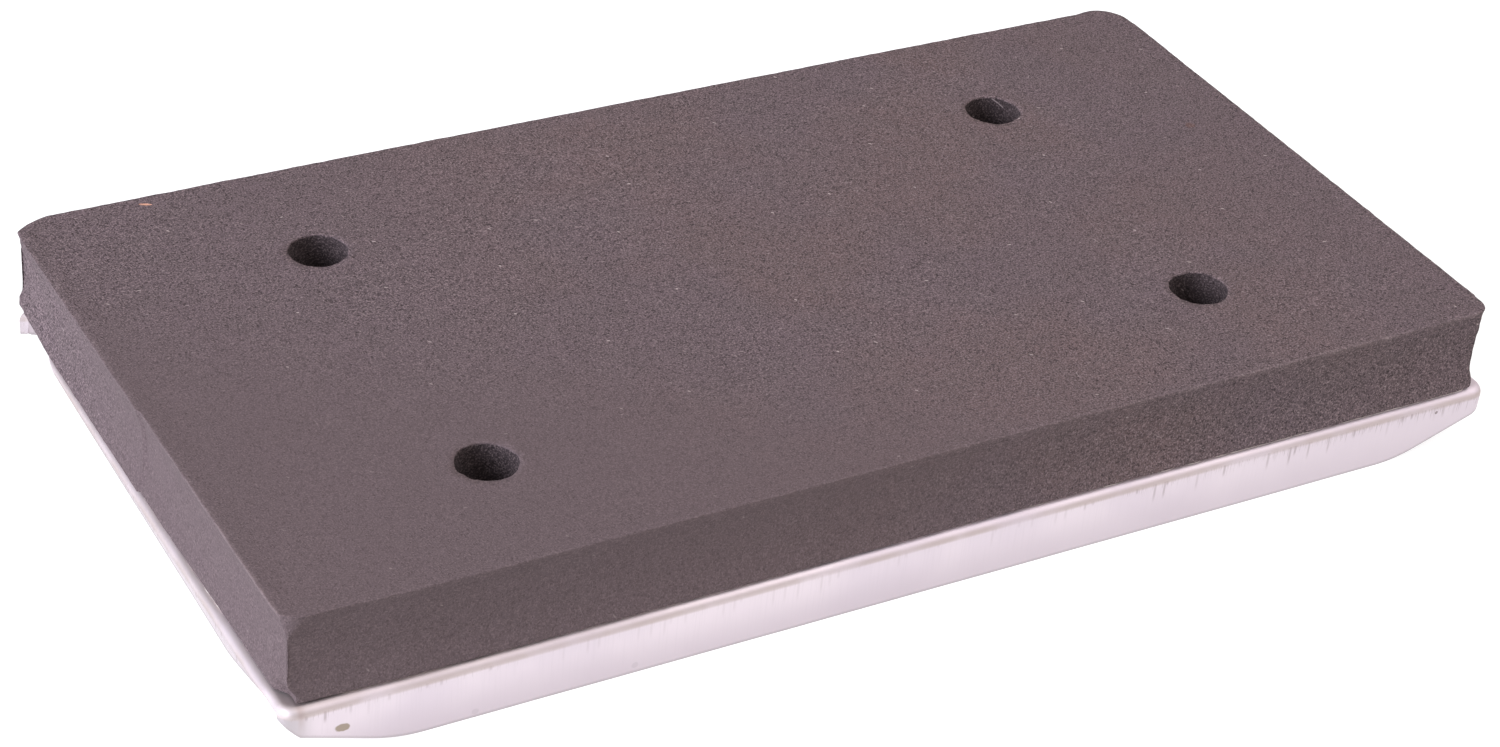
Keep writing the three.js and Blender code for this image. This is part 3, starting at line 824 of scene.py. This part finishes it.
def sheet_material():
    n = Nodes("drawn_sheet")
    height = n.axis("Z")
    above_edge = n.node("Attribute", attribute_name="above_edge").outputs["Fac"]
    along = n.math("ADD", n.axis("X"), n.axis("Y"))
    grain = n.noise(0.22 * MM, 3.0, stretch=(1, 1, 0.025), seed=2.0)
    soft = n.noise(16 * MM, 3.0, seed=4.0)
    tone = n.mix(n.ramp(soft, 0.35, 0.7), colour(0.705, 0.625, 0.665), colour(0.655, 0.580, 0.630))
    tone = n.mix(n.ramp(grain, 0.45, 0.75, 0.0, 0.10), tone, colour(0.42, 0.38, 0.40))
    # Painted shade: the sheet darker toward its foot, standing in for the reflection of the floor shaded by
    # the tray.
    tone = n.mix(n.ramp(height, 0.5 * MM, 6.6 * MM, 0.75, 0.0), tone, colour(0.545, 0.475, 0.515))
    # The sheet darker toward its right end.
    darker_to_right = n.ramp(n.axis("X"), -10 * MM, 85 * MM, 0.0, 0.55)
    tone = n.mix(darker_to_right, tone, colour(0.60, 0.53, 0.57))
    # Painted shade: the near left corner darkened so that the key light's highlight on it is dimmer.
    corner = n.both(n.ramp(n.axis("X"), TRAY_LOW[0] + 1 * MM, TRAY_LOW[0] + 5 * MM, 0.9, 0.0),
                    n.ramp(n.axis("Y"), TRAY_LOW[1] + 1 * MM, TRAY_LOW[1] + 7 * MM, 1.0, 0.0))
    tone = n.mix(corner, tone, colour(0.46, 0.42, 0.44))
    # Painted reflection of the shaded floor: a darker ragged band along the lower edge.
    ragged = n.math("ADD", above_edge, n.math("MULTIPLY", grain, 0.3 * MM))
    edge = n.ramp(ragged, 0.3 * MM, 0.75 * MM, 1.0, 0.0)
    tone = n.mix(n.math("MULTIPLY", edge, 0.55), tone, colour(0.40, 0.36, 0.37))

    bend_foot = TRAY_HIGH[2] - BEND
    below = n.math("SUBTRACT", bend_foot + 0.25 * MM, height)
    fine = scores(n, along, below, 0.16 * MM, 0.1 * MM, 0.7 * MM, 7.0)
    short = scores(n, along, below, 0.37 * MM, 0.3 * MM, 1.3 * MM, 3.0)
    long = scores(n, along, below, 1.7 * MM, 0.8 * MM, 3.4 * MM, 11.0)
    worked = n.ramp(n.noise(34 * MM, 1.0, stretch=(1, 1, 0.0), seed=12.0), 0.38, 0.58, 0.25, 1.0)
    worked = n.math("MAXIMUM", worked, n.ramp(n.axis("X"), 15 * MM, 50 * MM))
    marks = n.math("MAXIMUM", n.math("MULTIPLY", fine, 0.45), n.math("MULTIPLY", short, 0.55))
    marks = n.both(n.math("MAXIMUM", marks, n.math("MULTIPLY", long, 0.7)), worked)
    to_right = n.ramp(n.axis("X"), 20 * MM, 65 * MM)
    dense = n.math("MAXIMUM", scores(n, along, below, 0.11 * MM, 0.1 * MM, 1.5 * MM, 17.0),
                   scores(n, along, below, 0.29 * MM, 0.3 * MM, 2.2 * MM, 23.0))
    marks = n.math("MAXIMUM", marks, n.both(dense, to_right))
    tone = n.mix(n.math("MULTIPLY", marks, 0.6), tone, colour(0.30, 0.24, 0.24))

    # Traces of glue along the foot of the bend, the bend darker toward the left end, painted shade where the
    # front face turns into the near left corner, and a few spots.
    near_line = n.both(n.ramp(below, -0.75 * MM, -0.2 * MM), n.ramp(below, 0.05 * MM, 0.5 * MM, 1.0, 0.0))
    patchy = n.ramp(n.noise(9 * MM, 3.0, stretch=(1, 1, 0.0), seed=14.0), 0.35, 0.62, 0.2, 0.75)
    tone = n.mix(n.both(near_line, patchy), tone, colour(0.52, 0.44, 0.42))
    # The bend darker toward the left end, in patches.
    upper = n.ramp(below, -1.2 * MM, -0.1 * MM, 0.85, 0.0)
    to_left = n.ramp(n.axis("X"), -70 * MM, -5 * MM, 1.0, 0.0)
    bend_darker_to_left = n.both(upper, to_left, n.ramp(patchy, 0.1, 0.7, 0.6, 1.0))
    tone = n.mix(bend_darker_to_left, tone, colour(0.50, 0.43, 0.42))
    # Painted shade: a dark line down the front face where it turns into the near left corner, fading toward
    # the foot.
    turn = TRAY_LOW[0] + TRAY_CORNER
    before = n.ramp(n.axis("X"), turn - 0.5 * MM, turn)
    after = n.ramp(n.axis("X"), turn, turn + 1 * MM, 1.0, 0.0)
    corner_shade_line = n.both(before, after, n.ramp(below, -0.2 * MM, 2.4 * MM, 0.5, 0.1))
    tone = n.mix(corner_shade_line, tone, colour(0.42, 0.33, 0.32))
    foot = Vector(TRAY_LOW)
    smear = n.blob(foot + GLUE_SMEAR, (0.95 * MM, 2 * MM, 0.62 * MM))
    tone = n.mix(n.math("MULTIPLY", smear, 0.8), tone, colour(0.34, 0.28, 0.20))
    spot = n.blob(foot + PIN_SPOT, (0.28 * MM, 2 * MM, 0.28 * MM))
    tone = n.mix(n.math("MULTIPLY", spot, 0.7), tone, colour(0.16, 0.12, 0.11))
    for place in FAINT_MARKS:
        faint = n.blob(foot + place, (0.5 * MM, 2 * MM, 0.45 * MM))
        tone = n.mix(n.math("MULTIPLY", faint, 0.3), tone, colour(0.40, 0.35, 0.38))
    n.put(tone, n.shader.inputs["Base Color"])
    n.put(1.0, n.shader.inputs["Metallic"])
    at_left_end = n.ramp(n.axis("X"), TRAY_LOW[0] + 0.4 * MM, TRAY_LOW[0] + 1.3 * MM, 1.0, 0.0)
    smoother = n.both(at_left_end, n.ramp(n.axis("Y"), -46 * MM, -40 * MM, -0.2, 0.2))
    bend = n.math("SUBTRACT", n.ramp(below, -0.2 * MM, 0.5 * MM, 0.62, 0.42), smoother)
    rough = n.math("ADD", bend, n.ramp(soft, 0.3, 0.7, -0.04, 0.04))
    rough = n.math("MULTIPLY_ADD", marks, 0.2, rough)
    n.put(n.math("MULTIPLY_ADD", smear, 0.3, rough), n.shader.inputs["Roughness"])
    relief = n.math("SUBTRACT", n.math("MULTIPLY", grain, 0.3), marks)
    n.put(n.bump(relief, 0.015 * MM, 0.6), n.shader.inputs["Normal"])
    return n.material


def scores(n, along, below, spacing, shortest, longest, seed):
    """Drawing scores: thin lines that start at the bend and run down, each for its own length."""
    place = n.math("MULTIPLY_ADD", along, 1 / spacing, seed)
    lines = n.node("TexVoronoi", {"W": place, "Scale": 1.0}, voronoi_dimensions="1D")
    chance = n.node("SeparateColor", {0: lines.outputs["Color"]}).outputs
    length = n.ramp(chance[0], 0.0, 1.0, shortest, longest)
    thin = n.ramp(lines.outputs["Distance"], 0.05, 0.16, 1.0, 0.0)
    run = n.ramp(n.math("DIVIDE", below, length), 0.45, 1.0, 1.0, 0.0)
    return n.both(thin, run, n.ramp(below, -0.1 * MM, 0.1 * MM), n.ramp(chance[1], 0.3, 0.7))


def glue_material():
    n = Nodes("dried_glue")
    lump = n.noise(0.8 * MM, 3.0)
    tone = n.mix(n.ramp(lump, 0.35, 0.65), colour(0.40, 0.345, 0.31), colour(0.50, 0.44, 0.41))
    n.put(tone, n.shader.inputs["Base Color"])
    n.put(n.ramp(lump, 0.3, 0.7, 0.35, 0.6), n.shader.inputs["Roughness"])
    n.put(n.bump(lump, 0.12 * MM, 0.6), n.shader.inputs["Normal"])
    return n.material


def plated_steel(name, light, dark, low_rough, high_rough):
    n = Nodes(name)
    stain = n.noise(1.2 * MM, 3.0)
    fine = n.noise(0.12 * MM, 2.0, seed=3.0)
    n.put(n.mix(n.ramp(stain, 0.35, 0.7), light, dark), n.shader.inputs["Base Color"])
    n.put(1.0, n.shader.inputs["Metallic"])
    n.put(n.ramp(stain, 0.3, 0.7, low_rough, high_rough), n.shader.inputs["Roughness"])
    n.put(n.bump(fine, 0.02 * MM, 0.5), n.shader.inputs["Normal"])
    return n.material


def screw_material():
    return plated_steel("plated_screw", colour(0.52, 0.52, 0.54), colour(0.36, 0.35, 0.36), 0.28, 0.42)


def washer_material():
    return plated_steel("plated_washer", colour(0.58, 0.57, 0.58), colour(0.42, 0.40, 0.40), 0.3, 0.48)


# ---- Studio: a glowing pale table, a key light low on the left, and a broad fill from front right ----
FLOOR_SIZE = 8.0
FLOOR_DROP = 0.02 * MM
KEY_HEIGHT, KEY_TURN, KEY_DISTANCE = math.radians(22), math.radians(6), 1.5


def make_floor():
    mesh = bpy.data.meshes.new("floor")
    half = FLOOR_SIZE / 2
    corners = [(x * half, y * half, -FLOOR_DROP) for x, y in ((-1, -1), (1, -1), (1, 1), (-1, 1))]
    mesh.from_pydata(corners, [], [(0, 1, 2, 3)])
    floor = bpy.data.objects.new("floor", mesh)
    bpy.context.scene.collection.objects.link(floor)
    n = Nodes("pale_table")
    n.put(colour(0.32, 0.32, 0.32), n.shader.inputs["Base Color"])
    n.put(0.9, n.shader.inputs["Roughness"])
    n.put(0.0, n.shader.inputs["Specular IOR Level"])
    n.put(colour(1, 1, 1), n.shader.inputs["Emission Color"])
    n.put(0.78, n.shader.inputs["Emission Strength"])
    mesh.materials.append(n.material)


def make_light(name, location, size, watts, tint):
    data = bpy.data.lights.new(name, "AREA")
    data.shape = "DISK"
    data.size = size
    data.energy = watts
    data.color = tint
    light = bpy.data.objects.new(name, data)
    light.location = location
    light.rotation_euler = (-Vector(location)).to_track_quat("-Z", "Y").to_euler()
    bpy.context.scene.collection.objects.link(light)


def make_studio():
    make_floor()
    out = KEY_DISTANCE * math.cos(KEY_HEIGHT)
    up = KEY_DISTANCE * math.sin(KEY_HEIGHT)
    key_place = (-out * math.cos(KEY_TURN), -out * math.sin(KEY_TURN), up)
    make_light("key", key_place, size=1.2, watts=46.0, tint=(0.95, 1.0, 1.13))
    make_light("fill", (0.7, -0.5, 1.35), size=2.4, watts=26.0, tint=(1.03, 1.0, 0.99))
    world = bpy.data.worlds.new("studio")
    world.use_nodes = True
    world.node_tree.nodes["Background"].inputs["Color"].default_value = colour(1.06, 1.0, 0.98)
    world.node_tree.nodes["Background"].inputs["Strength"].default_value = 0.45
    bpy.context.scene.world = world
    bpy.context.scene.view_settings.view_transform = "Standard"


# ---- Assembly ----

def settle(piece, node):
    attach(piece, "root")
    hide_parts(node)


make_camera()
foam = make_foam()
settle(foam, "foam_pad")
settle(make_tray(), "base_tray")
settle(make_glue(), "adhesive_film")
for screw_name in SCREWS:
    settle(make_screw(screw_name), screw_name)
for washer_name in WASHERS:
    settle(make_washer(washer_name), washer_name)
make_studio()
